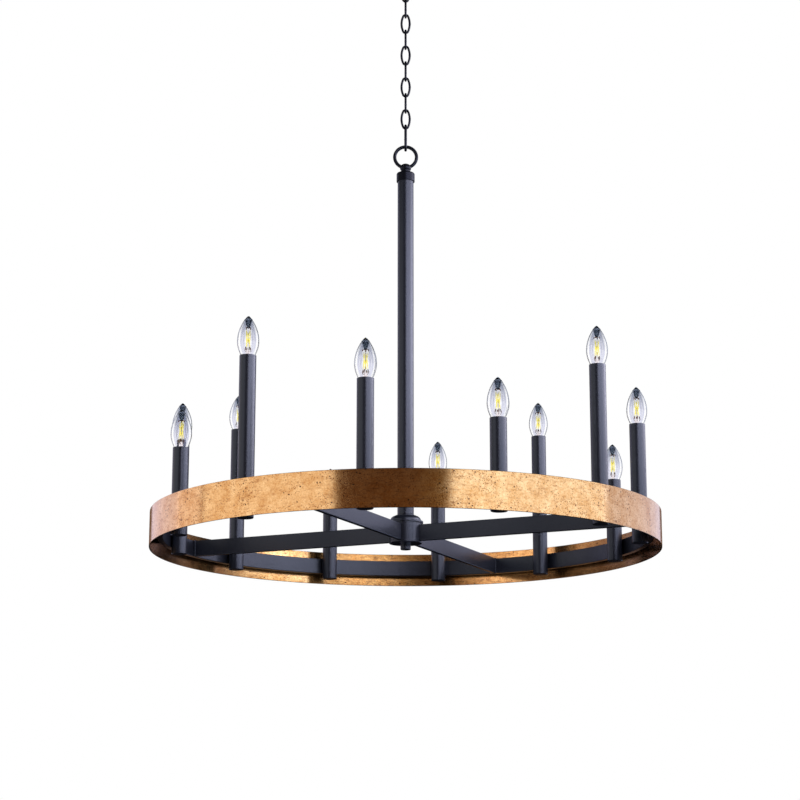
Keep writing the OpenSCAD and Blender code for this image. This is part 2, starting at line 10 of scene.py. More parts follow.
import bmesh
import bpy
import numpy as np
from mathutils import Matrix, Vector


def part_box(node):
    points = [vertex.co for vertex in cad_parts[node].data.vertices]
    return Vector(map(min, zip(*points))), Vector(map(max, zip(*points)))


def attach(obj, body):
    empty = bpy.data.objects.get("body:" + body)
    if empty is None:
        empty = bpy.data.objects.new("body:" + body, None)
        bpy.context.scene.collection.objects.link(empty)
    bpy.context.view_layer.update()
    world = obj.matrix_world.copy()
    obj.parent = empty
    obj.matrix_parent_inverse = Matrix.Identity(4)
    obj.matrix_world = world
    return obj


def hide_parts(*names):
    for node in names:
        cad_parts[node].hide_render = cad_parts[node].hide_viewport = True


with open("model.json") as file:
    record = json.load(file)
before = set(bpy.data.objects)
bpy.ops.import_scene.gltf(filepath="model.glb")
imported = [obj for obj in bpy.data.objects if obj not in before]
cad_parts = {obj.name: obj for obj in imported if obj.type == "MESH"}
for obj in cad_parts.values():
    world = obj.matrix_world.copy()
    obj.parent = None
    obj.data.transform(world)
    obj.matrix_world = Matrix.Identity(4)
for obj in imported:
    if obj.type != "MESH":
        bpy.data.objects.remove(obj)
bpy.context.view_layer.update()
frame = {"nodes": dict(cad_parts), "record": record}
NODES = frame["nodes"]

# Lengths are in metres and angles in degrees, unless a name says otherwise
MM = 0.001
BULB_COUNT = 12
LINK_COUNT = 9
SPOKE_COUNT = 4

# The photographer stands this far round from the -Y side, below the wheel, and looks up
VIEW_AZIMUTH = 23.94
CAMERA_DISTANCE = 3.4205
CAMERA_BELOW_WHEEL = 0.5562
CAMERA_PITCH = 13.0
LENS_MM = 91.7
SENSOR_MM = 36.0
FRAME_SHIFT = -0.0070

FLOOR_BELOW_CEILING = 3.4
FLOOR_HALF_SIDE = 30.0


def middle_of(node):
    """Middle of a CAD node's box."""
    low, high = (np.array(corner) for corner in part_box(node))
    return (low + high) / 2


def span_of(node):
    """Side lengths of a CAD node's box."""
    low, high = (np.array(corner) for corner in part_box(node))
    return high - low


def level_direction(turn):
    """Level unit vector, this many degrees round from +X."""
    angle = math.radians(turn)
    return np.array([math.cos(angle), math.sin(angle), 0.0])


def square_to(direction):
    """Level vector a quarter turn further round than another."""
    return np.array([-direction[1], direction[0], 0.0])


UP = np.array([0.0, 0.0, 1.0])
WHEEL_MIDDLE = middle_of("gold_band")
SCREEN_RIGHT = level_direction(VIEW_AZIMUTH)
SCREEN_AWAY = square_to(SCREEN_RIGHT)


def outward_at(azimuth):
    """Level direction from the wheel's axis. Azimuths count from the camera's side, and are positive
    to the camera's right."""
    turn = math.radians(azimuth)
    return math.sin(turn) * SCREEN_RIGHT - math.cos(turn) * SCREEN_AWAY


def srgb(code):
    """An sRGB hex colour as linear red, green, blue and alpha."""
    channels = [int(code[i:i + 2], 16) / 255 for i in (1, 3, 5)]
    linear = [c / 12.92 if c <= 0.04045 else ((c + 0.055) / 1.055) ** 2.4 for c in channels]
    return (*linear, 1.0)


def add_node(tree, kind, inputs=None, **settings):
    """Adds a node. Its settings are properties, and its inputs are values or the sockets that feed
    them."""
    node = tree.nodes.new(kind)
    for name, value in settings.items():
        setattr(node, name, value)
    for name, value in (inputs or {}).items():
        socket = node.inputs[name]
        if isinstance(value, bpy.types.NodeSocket):
            tree.links.new(value, socket)
        else:
            socket.default_value = value
    return node


# Camera, lights and backdrop

def make_camera():
    """The photograph's view: a long lens, level from side to side, pitched up from below the wheel."""
    data = bpy.data.cameras.new("photo_camera")
    data.lens = LENS_MM
    data.sensor_width = SENSOR_MM
    data.shift_x = FRAME_SHIFT
    data.clip_end = 200.0
    camera = bpy.data.objects.new("photo_camera", data)
    camera.location = WHEEL_MIDDLE - CAMERA_DISTANCE * SCREEN_AWAY - CAMERA_BELOW_WHEEL * UP
    camera.rotation_euler = (math.radians(90 + CAMERA_PITCH), 0.0, math.radians(VIEW_AZIMUTH))
    bpy.context.scene.collection.objects.link(camera)
    bpy.context.scene.camera = camera


# Name, azimuth, lift above the wheel, distance from its axis, width and height, radiance, colour, and
# what the lamp lights: everything, only the steel, or only the band
LAMPS = [
    ("left_softbox", -60, -0.2, 2.2, (2.75, 3.0), 1.0, "#FFF9F2", "everything"),
    ("left_turn", -101, -0.2, 2.2, (0.7, 3.0), 0.95, "#FBF1F4", "everything"),
    ("right_softbox", 54, -0.55, 2.2, (3.25, 2.2), 1.5, "#E8F1FF", "everything"),
    ("near_window", 36, 0.97, 2.3, (2.7, 0.84), 6.3, "#FFF6FF", "steel"),
    ("near_transom", 36, 2.02, 2.3, (2.7, 1.26), 1.575, "#FFF6FF", "steel"),
    ("far_window", 92, 0.97, 2.3, (2.3, 0.84), 7.0, "#FFF6FF", "steel"),
    ("far_transom", 92, 2.02, 2.3, (2.3, 1.26), 1.75, "#FFF6FF", "steel"),
    ("right_rim", 120, 0.2, 2.4, (2.8, 3.0), 1.1, "#D6DEFF", "everything"),
    ("left_rim", -129, 0.2, 2.4, (1.59, 3.0), 1.0, "#E4E2FF", "everything"),
    ("left_strip", -85, 0.098, 0.33, (0.42, 0.08), 2.7, "#FAFBFF", "band"),
    ("front_strip", 26, 0.098, 0.25, (0.26, 0.08), 3.6, "#FFFFF4", "band"),
    ("right_strip", 100, 0.098, 0.27, (0.4, 0.08), 8.4, "#D0E4FF", "band"),
]
STEEL_LIGHT = bpy.data.collections.new("steel_light")


def make_softbox(name, azimuth, lift, distance, size, radiance, colour):
    """A rectangular studio light that faces the wheel's axis."""
    outward = outward_at(azimuth)
    place = WHEEL_MIDDLE + distance * outward + lift * UP
    data = bpy.data.lights.new(name, "AREA")
    data.shape = "RECTANGLE"
    data.size, data.size_y = size
    data.energy = radiance * math.pi * size[0] * size[1]
    data.color = srgb(colour)[:3]
    light = bpy.data.objects.new(name, data)
    light.location = place
    light.rotation_euler = Vector(-outward).to_track_quat("-Z", "Y").to_euler()
    light.visible_camera = False
    light.visible_transmission = False
    bpy.context.scene.collection.objects.link(light)
    return light


def light_only(light, *objects):
    """Makes a light shine on these objects and nothing else."""
    receivers = bpy.data.collections.new(f"{light.name}_receivers")
    for lit in objects:
        receivers.objects.link(lit)
    light.light_linking.receiver_collection = receivers


def keep_dark(receivers, unlit):
    """Leaves an object out of the light of the lamps that share these receivers."""
    receivers.objects.link(unlit)
    receivers.collection_objects[-1].light_linking.link_state = "EXCLUDE"


def make_lights():
    """Low softboxes on both sides leave a dark gap before the camera, which the middle of the band
    mirrors. Windows stand above the right one, with dimmer transoms over them, and draw the pale side
    of every tube, but light neither the band nor the glass. Cool rims behind the wheel whiten the
    ends of the band, and three strips inside it, just above its edge, shine on nothing but the inside
    of its far half."""
    keep_dark(STEEL_LIGHT, NODES["gold_band"])
    for *measures, lit in LAMPS:
        lamp = make_softbox(*measures)
        if lit == "steel":
            lamp.light_linking.receiver_collection = STEEL_LIGHT
        if lit == "band":
            light_only(lamp, NODES["gold_band"])


GAP_LIGHTER_AT = 30


def make_world():
    """White to the camera and through clear glass. In reflections it is a warm dim gap that grows
    lighter round one azimuth, under a cool dark room and over a black floor."""
    world = bpy.data.worlds.new("studio")
    bpy.context.scene.world = world
    world.use_nodes = True
    tree = world.node_tree
    tree.nodes.clear()
    output = add_node(tree, "ShaderNodeOutputWorld")
    ray = add_node(tree, "ShaderNodeLightPath")
    direction = add_node(tree, "ShaderNodeTexCoord").outputs["Generated"]
    height = add_node(tree, "ShaderNodeSeparateXYZ", {"Vector": direction}).outputs["Z"]

    lighter_side = add_node(tree, "ShaderNodeVectorMath", {
        0: direction, 1: tuple(outward_at(GAP_LIGHTER_AT))}, operation="DOT_PRODUCT")
    lighter = add_node(tree, "ShaderNodeMapRange", {
        "Value": lighter_side.outputs["Value"], "From Min": 0.89, "From Max": 0.98})
    gap_colour = add_node(tree, "ShaderNodeMix", {
        "Factor": lighter.outputs["Result"],
        "A": srgb("#6A4B2B"),
        "B": srgb("#8A7145")}, data_type="RGBA")
    rising = add_node(tree, "ShaderNodeMapRange", {
        "Value": height, "From Min": 0.17, "From Max": 0.24}, interpolation_type="SMOOTHSTEP")
    studio_colour = add_node(tree, "ShaderNodeMix", {
        "Factor": rising.outputs["Result"],
        "A": gap_colour.outputs["Result"],
        "B": srgb("#3A3F4A")}, data_type="RGBA")
    sinking = add_node(tree, "ShaderNodeMapRange", {
        "Value": height, "From Min": 0.03, "From Max": -0.05}, interpolation_type="SMOOTHSTEP")
    reflected = add_node(tree, "ShaderNodeMix", {
        "Factor": sinking.outputs["Result"],
        "A": studio_colour.outputs["Result"],
        "B": srgb("#0E0F12")}, data_type="RGBA")
    studio = add_node(tree, "ShaderNodeBackground", {"Color": reflected.outputs["Result"]})

    steep = add_node(tree, "ShaderNodeMath", {0: height}, operation="ABSOLUTE")
    bending = add_node(tree, "ShaderNodeMapRange", {
        "Value": steep.outputs[0], "From Min": 0.4, "From Max": 0.8}, interpolation_type="SMOOTHSTEP")
    glass_colour = add_node(tree, "ShaderNodeMix", {
        "Factor": bending.outputs["Result"],
        "A": srgb("#FFFFFF"),
        "B": srgb("#3C4A58")}, data_type="RGBA")
    behind_glass = add_node(tree, "ShaderNodeBackground", {
        "Color": glass_colour.outputs["Result"], "Strength": 1.1})
    backdrop = add_node(tree, "ShaderNodeBackground", {"Color": srgb("#FFFFFF")})

    through_glass = add_node(tree, "ShaderNodeMixShader", {
        0: ray.outputs["Is Transmission Ray"], 1: studio.outputs[0], 2: behind_glass.outputs[0]})
    seen = add_node(tree, "ShaderNodeMixShader", {
        0: ray.outputs["Is Camera Ray"], 1: through_glass.outputs[0], 2: backdrop.outputs[0]})
    tree.links.new(seen.outputs[0], output.inputs["Surface"])


def make_floor():
    """A plain pale floor, far below the camera's view, under a wide soft lamp of its own. It is left
    out of reflections and throws no light back."""
    s = FLOOR_HALF_SIDE
    mesh = bpy.data.meshes.new("floor")
    corners = [(-s, -s), (s, -s), (s, s), (-s, s)]
    mesh.from_pydata([(x, y, -FLOOR_BELOW_CEILING) for x, y in corners], [], [(0, 1, 2, 3)])
    floor = bpy.data.objects.new("floor", mesh)
    bpy.context.scene.collection.objects.link(floor)
    make_material("pale_floor_paint", "#F4F4F4", roughness=0.9)
    mesh.materials.append(bpy.data.materials["pale_floor_paint"])
    floor.visible_glossy = False
    floor.visible_diffuse = False
    data = bpy.data.lights.new("floor_lamp", "SUN")
    data.energy = math.pi
    data.angle = math.radians(60)
    lamp = bpy.data.objects.new("floor_lamp", data)
    bpy.context.scene.collection.objects.link(lamp)
    light_only(lamp, floor)


# Materials

def make_material(name, colour, metallic=0.0, roughness=0.5):
    """A new material with one Principled shader, and the shader's steady values set on its sockets."""
    material = bpy.data.materials.new(name)
    material.use_nodes = True
    tree = material.node_tree
    shader = tree.nodes["Principled BSDF"]
    shader.inputs["Base Color"].default_value = srgb(colour)
    shader.inputs["Metallic"].default_value = metallic
    shader.inputs["Roughness"].default_value = roughness
    return tree, shader


def feed(tree, shader, **sockets):
    """Links sockets into the shader's inputs. Underscores in the names stand for spaces."""
    for name, socket in sockets.items():
        tree.links.new(socket, shader.inputs[name.replace("_", " ")])


def per_mm(size_mm):
    """The scale of a pattern whose features are this many millimetres across."""
    return 1 / (size_mm * MM)


def satin_black_powder_coat():
    """Polyester powder coat on steel, cured satin. The eye sees a blue-black with soft wide
    highlights and the faint orange peel that the melted powder leaves."""
    tree, shader = make_material("satin_black_powder_coat", "#15171D", roughness=0.32)
    place = add_node(tree, "ShaderNodeTexCoord").outputs["Object"]
    shader.inputs["IOR"].default_value = 1.55
    shader.inputs["Specular Tint"].default_value = srgb("#D7E4FF")
    cloud = add_node(tree, "ShaderNodeTexNoise", {
        "Vector": place, "Scale": per_mm(60), "Detail": 3.0})
    tone = add_node(tree, "ShaderNodeMix", {
        "Factor": cloud.outputs["Fac"],
        "A": srgb("#12141A"),
        "B": srgb("#191B23")}, data_type="RGBA")
    peel = add_node(tree, "ShaderNodeTexNoise", {
        "Vector": place, "Scale": per_mm(1.3), "Detail": 2.0})
    sheen = add_node(tree, "ShaderNodeMapRange", {
        "Value": peel.outputs["Fac"], "From Min": 0.3, "From Max": 0.7, "To Min": 0.27, "To Max": 0.35})
    bump = add_node(tree, "ShaderNodeBump", {
        "Height": peel.outputs["Fac"], "Strength": 0.12, "Distance": 0.04 * MM})
    feed(tree, shader, Base_Color=tone.outputs["Result"], Roughness=sheen.outputs["Result"],
         Normal=bump.outputs["Normal"])


def black_electrocoat():
    """Thin dipped black on bent wire and cast iron. The eye sees a deeper, duller black than the
    powder's, with a small hard highlight."""
    tree, shader = make_material("black_electrocoat", "#0A0B0E", roughness=0.3)
    place = add_node(tree, "ShaderNodeTexCoord").outputs["Object"]
    shader.inputs["Specular IOR Level"].default_value = 0.24
    shader.inputs["Specular Tint"].default_value = srgb("#BCC8EE")
    cloud = add_node(tree, "ShaderNodeTexNoise", {
        "Vector": place, "Scale": per_mm(7), "Detail": 3.0})
    tone = add_node(tree, "ShaderNodeMix", {
        "Factor": cloud.outputs["Fac"],
        "A": srgb("#08090B"),
        "B": srgb("#0F1014")}, data_type="RGBA")
    gloss = add_node(tree, "ShaderNodeMapRange", {
        "Value": cloud.outputs["Fac"], "From Min": 0.3, "From Max": 0.7, "To Min": 0.25, "To Max": 0.36})
    feed(tree, shader, Base_Color=tone.outputs["Result"], Roughness=gloss.outputs["Result"])


def speckle_mask(tree, place, cell_mm, radius, share):
    """Round specks, one to a cell at most: a cell holds one where its random red is under the share,
    and the speck fades out at its radius, counted in cells."""
    cells = add_node(tree, "ShaderNodeTexVoronoi", {"Vector": place, "Scale": per_mm(cell_mm)})
    chance = add_node(tree, "ShaderNodeSeparateColor", {"Color": cells.outputs["Color"]}).outputs["Red"]
    chosen = add_node(tree, "ShaderNodeMath", {0: chance, 1: share}, operation="LESS_THAN")
    dot = add_node(tree, "ShaderNodeMapRange", {
        "Value": cells.outputs["Distance"], "From Min": radius, "From Max": 0.5 * radius},
        interpolation_type="SMOOTHSTEP")
    return add_node(tree, "ShaderNodeMath", {
        0: chosen.outputs[0], 1: dot.outputs["Result"]}, operation="MULTIPLY").outputs[0]


BAND_INSIDE_BELOW = span_of("gold_band")[0] / 2 - 1 * MM


def rubbed_gold_leaf():
    """Brass leaf over a brown ground, rubbed thin and lacquered, and left darker and less polished on
    the inside of the band. The eye sees a warm glossy gold, clouded and faintly streaked, and peppered
    with fine brown specks that gather in drifts and crowd towards the two edges."""
    tree, shader = make_material("rubbed_gold_leaf", "#E7B379", metallic=1.0, roughness=0.16)
    place = add_node(tree, "ShaderNodeTexCoord").outputs["Object"]
    shader.inputs["Coat Weight"].default_value = 0.2
    shader.inputs["Coat Roughness"].default_value = 0.08

    cloud = add_node(tree, "ShaderNodeTexNoise", {
        "Vector": place, "Scale": per_mm(22), "Detail": 5.0, "Roughness": 0.65})
    grain = add_node(tree, "ShaderNodeTexNoise", {"Vector": place, "Scale": per_mm(2.6), "Detail": 2.0})
    mottled = add_node(tree, "ShaderNodeMath", {
        0: grain.outputs["Fac"], 1: 0.7, 2: cloud.outputs["Fac"]}, operation="MULTIPLY_ADD")
    mottling = add_node(tree, "ShaderNodeMapRange", {
        "Value": mottled.outputs[0], "From Min": 0.6, "From Max": 1.1})
    leaf = add_node(tree, "ShaderNodeMix", {
        "Factor": mottling.outputs["Result"],
        "A": srgb("#F8D19C"),
        "B": srgb("#CD9557")}, data_type="RGBA")
    flattened = add_node(tree, "ShaderNodeVectorMath", {
        0: place, 1: (1.0, 1.0, 3.0)}, operation="MULTIPLY")
    brushing = add_node(tree, "ShaderNodeTexNoise", {
        "Vector": flattened.outputs["Vector"], "Scale": per_mm(12), "Detail": 5.0, "Roughness": 0.65})
    thin = add_node(tree, "ShaderNodeMapRange", {
        "Value": brushing.outputs["Fac"], "From Min": 0.5, "From Max": 0.7, "To Max": 0.6},
        interpolation_type="SMOOTHSTEP")
    rubbed = add_node(tree, "ShaderNodeMix", {
        "Factor": thin.outputs["Result"],
        "A": leaf.outputs["Result"],
        "B": srgb("#B07540")}, data_type="RGBA")

    height = add_node(tree, "ShaderNodeSeparateXYZ", {"Vector": place}).outputs["Z"]
    from_middle = add_node(tree, "ShaderNodeMath", {0: height, 1: -WHEEL_MIDDLE[2]}, operation="ADD")
    off_middle = add_node(tree, "ShaderNodeMath", {0: from_middle.outputs[0]}, operation="ABSOLUTE")
    near_edge = add_node(tree, "ShaderNodeMapRange", {
        "Value": off_middle.outputs[0], "From Min": 14 * MM, "From Max": 30 * MM, "To Max": 0.2})
    drift = add_node(tree, "ShaderNodeTexNoise", {
        "Vector": place, "Scale": per_mm(26), "Detail": 4.0, "Roughness": 0.65})
    drifting = add_node(tree, "ShaderNodeMapRange", {
        "Value": drift.outputs["Fac"], "From Min": 0.45, "From Max": 0.68, "To Max": 0.8})
    share = add_node(tree, "ShaderNodeMath", {
        0: drifting.outputs["Result"], 1: near_edge.outputs["Result"]}, operation="ADD").outputs[0]
    rare = add_node(tree, "ShaderNodeMath", {0: share, 1: 0.3}, operation="MULTIPLY").outputs[0]
    wobble = add_node(tree, "ShaderNodeTexNoise", {"Vector": place, "Scale": per_mm(2.2), "Detail": 2.0})
    strayed = add_node(tree, "ShaderNodeVectorMath", {
        0: wobble.outputs["Color"], 1: (1.6 * MM, 1.6 * MM, 1.6 * MM), 2: place}, operation="MULTIPLY_ADD")
    fine = speckle_mask(tree, strayed.outputs["Vector"], 2.1, 0.48, share)
    coarse = speckle_mask(tree, strayed.outputs["Vector"], 4.6, 0.36, rare)
    peppered = add_node(tree, "ShaderNodeMix", {
        "Factor": fine, "A": rubbed.outputs["Result"], "B": srgb("#8F5930")}, data_type="RGBA")
    colour = add_node(tree, "ShaderNodeMix", {
        "Factor": coarse, "A": peppered.outputs["Result"], "B": srgb("#4E2C17")}, data_type="RGBA")

    sideways = add_node(tree, "ShaderNodeVectorMath", {
        0: place, 1: (1.0, 1.0, 0.0)}, operation="MULTIPLY")
    from_axis = add_node(tree, "ShaderNodeVectorMath", {
        0: sideways.outputs["Vector"]}, operation="LENGTH")
    inside = add_node(tree, "ShaderNodeMath", {
        0: from_axis.outputs["Value"], 1: BAND_INSIDE_BELOW}, operation="LESS_THAN")
    gloss = add_node(tree, "ShaderNodeMapRange", {
        "Value": brushing.outputs["Fac"], "From Min": 0.3, "From Max": 0.7, "To Min": 0.1, "To Max": 0.2})
    roughness = add_node(tree, "ShaderNodeMath", {
        0: inside.outputs[0], 1: 0.08, 2: gloss.outputs["Result"]}, operation="MULTIPLY_ADD")
    dulled = add_node(tree, "ShaderNodeMix", {
        "Factor": inside.outputs[0], "A": colour.outputs["Result"], "B": srgb("#C4B39C")},
        data_type="RGBA", blend_type="MULTIPLY")
    pitted = add_node(tree, "ShaderNodeMath", {
        0: brushing.outputs["Fac"], 1: coarse}, operation="SUBTRACT")
    bump = add_node(tree, "ShaderNodeBump", {
        "Height": pitted.outputs[0], "Strength": 0.15, "Distance": 0.05 * MM})
    feed(tree, shader, Base_Color=dulled.outputs["Result"], Roughness=roughness.outputs[0],
         Normal=bump.outputs["Normal"])


def zinc_plated_steel():
    """Bright zinc on turned and pressed steel. The eye sees a cool silver, clouded by handling."""
    tree, shader = make_material("zinc_plated_steel", "#B9BBBF", metallic=1.0, roughness=0.3)
    place = add_node(tree, "ShaderNodeTexCoord").outputs["Object"]
    cloud = add_node(tree, "ShaderNodeTexNoise", {
        "Vector": place, "Scale": per_mm(9), "Detail": 5.0})
    tone = add_node(tree, "ShaderNodeMix", {
        "Factor": cloud.outputs["Fac"],
        "A": srgb("#C6C8CC"),
        "B": srgb("#9EA1A8")}, data_type="RGBA")
    gloss = add_node(tree, "ShaderNodeMapRange", {
        "Value": cloud.outputs["Fac"], "From Min": 0.3, "From Max": 0.7, "To Min": 0.24, "To Max": 0.42})
    feed(tree, shader, Base_Color=tone.outputs["Result"], Roughness=gloss.outputs["Result"])


def green_dyed_zinc():
    """The earthing screw's green dye over plating. The eye sees a deep metallic green."""
    tree, shader = make_material("green_dyed_zinc", "#1F6B35", metallic=0.8, roughness=0.35)
    place = add_node(tree, "ShaderNodeTexCoord").outputs["Object"]
    cloud = add_node(tree, "ShaderNodeTexNoise", {
        "Vector": place, "Scale": per_mm(2), "Detail": 4.0})
    tone = add_node(tree, "ShaderNodeMix", {
        "Factor": cloud.outputs["Fac"],
        "A": srgb("#2A7D41"),
        "B": srgb("#175329")}, data_type="RGBA")
    feed(tree, shader, Base_Color=tone.outputs["Result"])


def moulded_phenolic():
    """Cream phenolic of a lampholder. The eye sees a matt, faintly speckled ivory."""
    tree, shader = make_material("moulded_phenolic", "#DAD2BE", roughness=0.55)
    place = add_node(tree, "ShaderNodeTexCoord").outputs["Object"]
    speckle = add_node(tree, "ShaderNodeTexNoise", {
        "Vector": place, "Scale": per_mm(0.8), "Detail": 3.0})
    tone = add_node(tree, "ShaderNodeMix", {
        "Factor": speckle.outputs["Fac"],
        "A": srgb("#E3DCCA"),
        "B": srgb("#CBC2AB")}, data_type="RGBA")
    feed(tree, shader, Base_Color=tone.outputs["Result"])


def clear_soda_glass():
    """Blown soda-lime glass, with painted shade in its base colour for the light that the clear shell
    bends and reflects: a thin dark rim, a white strip inside it and a lavender shade inside that,
    which closes into a blue-grey crown, and a cool dark grey painted where the glass is drawn solid at the
    tip."""
    tree, shader = make_material("clear_soda_glass", "#FFFFFF", roughness=0.0)
    place = add_node(tree, "ShaderNodeTexCoord").outputs["Object"]
    shader.inputs["IOR"].default_value = 1.5
    shader.inputs["Specular IOR Level"].default_value = 0.12
    shader.inputs["Transmission Weight"].default_value = 1.0
    facing = add_node(tree, "ShaderNodeLayerWeight", {"Blend": 0.5}).outputs["Facing"]
    # Painted shade: a lavender shade that darkens into a blue-grey crown towards the tip, cleared to a
    # white strip near the rim
    nearer_tip = add_node(tree, "ShaderNodeAttribute", attribute_name="towards_tip")
    shade_colour = add_node(tree, "ShaderNodeMix", {
        "Factor": nearer_tip.outputs["Fac"],
        "A": srgb("#DCDCEB"),
        "B": srgb("#617089")}, data_type="RGBA")
    shading = add_node(tree, "ShaderNodeMapRange", {
        "Value": facing, "From Min": 0.02, "From Max": 0.1}, interpolation_type="SMOOTHSTEP")
    shade = add_node(tree, "ShaderNodeMix", {
        "Factor": shading.outputs["Result"],
        "A": srgb("#FFFFFF"),
        "B": shade_colour.outputs["Result"]}, data_type="RGBA")
    clearing = add_node(tree, "ShaderNodeMapRange", {
        "Value": facing, "From Min": 0.12, "From Max": 0.16}, interpolation_type="SMOOTHSTEP")
    crown = add_node(tree, "ShaderNodeMath", {0: nearer_tip.outputs["Fac"], 1: 2.5}, operation="POWER")
    below_crown = add_node(tree, "ShaderNodeMath", {0: 1.0, 1: crown.outputs[0]}, operation="SUBTRACT")
    cleared = add_node(tree, "ShaderNodeMath", {
        0: clearing.outputs["Result"], 1: below_crown.outputs[0]}, operation="MULTIPLY")
    clear_wall = add_node(tree, "ShaderNodeMix", {
        "Factor": cleared.outputs[0],
        "A": shade.outputs["Result"],
        "B": srgb("#FFFFFF")}, data_type="RGBA")
    tip_shade_amount = add_node(tree, "ShaderNodeAttribute", attribute_name="drawn_solid")
    # Painted shade: a dark rim where the shell is seen edge-on, and the cool dark grey of the solid glass
    # at the tip
    grazing = add_node(tree, "ShaderNodeMapRange", {
        "Value": facing, "From Min": 0.6, "From Max": 0.74}, interpolation_type="SMOOTHSTEP")
    outlined = add_node(tree, "ShaderNodeMix", {
        "Factor": grazing.outputs["Result"],
        "A": clear_wall.outputs["Result"],
        "B": srgb("#3C434B")}, data_type="RGBA")
    tip_shaded = add_node(tree, "ShaderNodeMix", {
        "Factor": tip_shade_amount.outputs["Fac"],
        "A": outlined.outputs["Result"],
        "B": srgb("#5E6A76")}, data_type="RGBA")
    ripple = add_node(tree, "ShaderNodeTexNoise", {
        "Vector": place, "Scale": per_mm(16), "Detail": 1.0})
    bump = add_node(tree, "ShaderNodeBump", {
        "Height": ripple.outputs["Fac"], "Strength": 0.04, "Distance": 0.1 * MM})
    feed(tree, shader, Base_Color=tip_shaded.outputs["Result"], Normal=bump.outputs["Normal"])


def nickel_plated_brass():
    """Rolled cap of a candelabra bulb. The eye sees a warm, bright silver."""
    tree, shader = make_material("nickel_plated_brass", "#D6CFC4", metallic=1.0, roughness=0.22)
    place = add_node(tree, "ShaderNodeTexCoord").outputs["Object"]
    cloud = add_node(tree, "ShaderNodeTexNoise", {
        "Vector": place, "Scale": per_mm(3), "Detail": 4.0})
    gloss = add_node(tree, "ShaderNodeMapRange", {
        "Value": cloud.outputs["Fac"], "From Min": 0.3, "From Max": 0.7, "To Min": 0.16, "To Max": 0.32})
    feed(tree, shader, Roughness=gloss.outputs["Result"])


def black_cap_glass():
    """Black insulating glass in the foot of a bulb's cap. The eye sees a glossy black bead."""
    tree, shader = make_material("black_cap_glass", "#0B0B0D", roughness=0.12)
    place = add_node(tree, "ShaderNodeTexCoord").outputs["Object"]
    cloud = add_node(tree, "ShaderNodeTexNoise", {
        "Vector": place, "Scale": per_mm(2), "Detail": 2.0})
    gloss = add_node(tree, "ShaderNodeMapRange", {
        "Value": cloud.outputs["Fac"], "From Min": 0.3, "From Max": 0.7, "To Min": 0.08, "To Max": 0.2})
    feed(tree, shader, Roughness=gloss.outputs["Result"])


def white_stem_glass():
    """Opal glass of the filament mount, white with a breath of pink. It carries a painted glow as
    emission, so that the small cone at the bulb's foot looks bright as if lit from all round."""
    tree, shader = make_material("white_stem_glass", "#F1F0EE", roughness=0.25)
    place = add_node(tree, "ShaderNodeTexCoord").outputs["Object"]
    # Painted glow: emission makes the mount look lit, though it is no lamp
    shader.inputs["Emission Strength"].default_value = 0.55
    cloud = add_node(tree, "ShaderNodeTexNoise", {
        "Vector": place, "Scale": per_mm(4), "Detail": 3.0})
    tone = add_node(tree, "ShaderNodeMix", {
        "Factor": cloud.outputs["Fac"],
        "A": srgb("#FFF8FA"),
        "B": srgb("#E6DADF")}, data_type="RGBA")
    feed(tree, shader, Base_Color=tone.outputs["Result"], Emission_Color=tone.outputs["Result"])


def yellow_phosphor():
    """Silicone and phosphor round a filament's row of chips. The eye sees a waxy, vivid yellow, with a
    painted glow as emission that brightens the unlit rods inside the glass.
    """
    tree, shader = make_material("yellow_phosphor", "#F2D630", roughness=0.45)
    place = add_node(tree, "ShaderNodeTexCoord").outputs["Object"]
    # Painted glow: emission brightens the rods, which are not lit as lamps here
    shader.inputs["Emission Strength"].default_value = 0.55
    chips = add_node(tree, "ShaderNodeTexNoise", {
        "Vector": place, "Scale": per_mm(1.2), "Detail": 1.0})
    tone = add_node(tree, "ShaderNodeMix", {
        "Factor": chips.outputs["Fac"],
        "A": srgb("#FFF58A"),
        "B": srgb("#EAD83A")}, data_type="RGBA")
    feed(tree, shader, Base_Color=tone.outputs["Result"], Emission_Color=tone.outputs["Result"])


def oxidised_lead_wire():
    """Copper-clad leads and filament tabs, browned by the sealing flame. The eye sees a dull dark
    brown metal."""
    tree, shader = make_material("oxidised_lead_wire", "#6B3A22", metallic=0.8, roughness=0.4)
    place = add_node(tree, "ShaderNodeTexCoord").outputs["Object"]
    cloud = add_node(tree, "ShaderNodeTexNoise", {
        "Vector": place, "Scale": per_mm(2), "Detail": 3.0})
    tone = add_node(tree, "ShaderNodeMix", {
        "Factor": cloud.outputs["Fac"],
        "A": srgb("#8A4B2B"),
        "B": srgb("#35201A")}, data_type="RGBA")
    feed(tree, shader, Base_Color=tone.outputs["Result"])


# Surfaces

